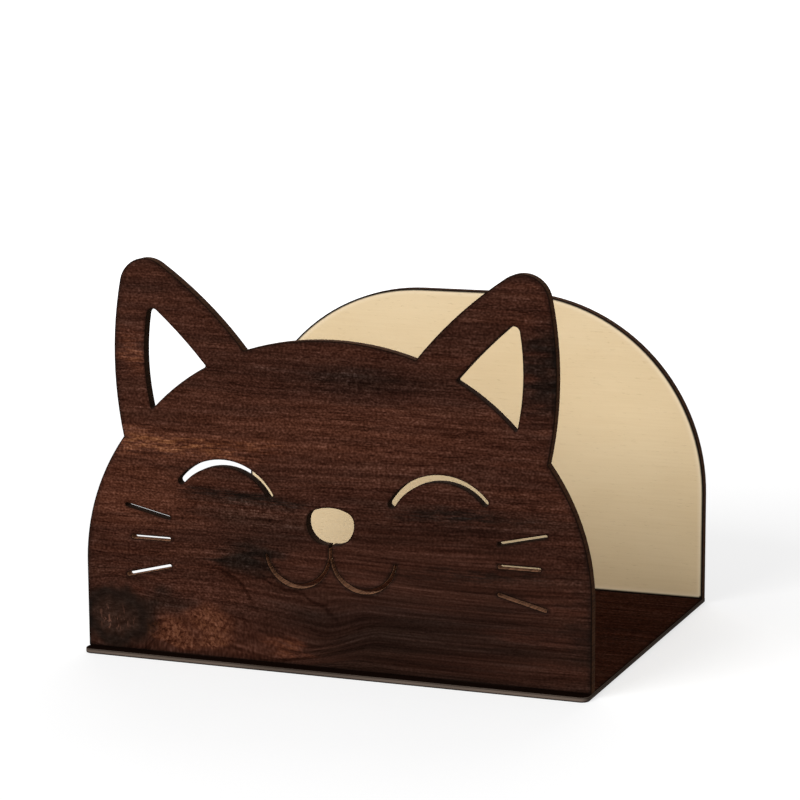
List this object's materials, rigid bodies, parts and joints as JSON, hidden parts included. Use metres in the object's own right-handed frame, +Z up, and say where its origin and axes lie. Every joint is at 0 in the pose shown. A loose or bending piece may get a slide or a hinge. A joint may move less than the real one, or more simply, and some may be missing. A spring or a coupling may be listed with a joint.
{
  "type": "napkin holder",
  "caption": "Upright napkin holder of laser-cut walnut-veneered board: a cat's-head front panel with a cut-out face, a plain back panel with round shoulders and a thin base.",
  "frame": {"origin": "under the middle of the base, on the surface that the holder stands on", "axes": "+X to the right seen from the front, along the panels' width; the cat's face looks along -Y; +Z up"},
  "size_m": [0.17, 0.1348, 0.1284],
  "materials": {
    "walnut_veneer": "dark walnut veneer, satin, with burnt edges",
    "light_board": "plain beige board, matt, with burnt edges"
  },
  "bodies": {
    "root": {"front_panel_board": "light_board", "front_panel_veneer": "walnut_veneer", "back_panel_board": "light_board", "back_panel_veneer": "walnut_veneer", "base_board": "light_board", "base_veneer": "walnut_veneer"}
  },
  "joints": []
}
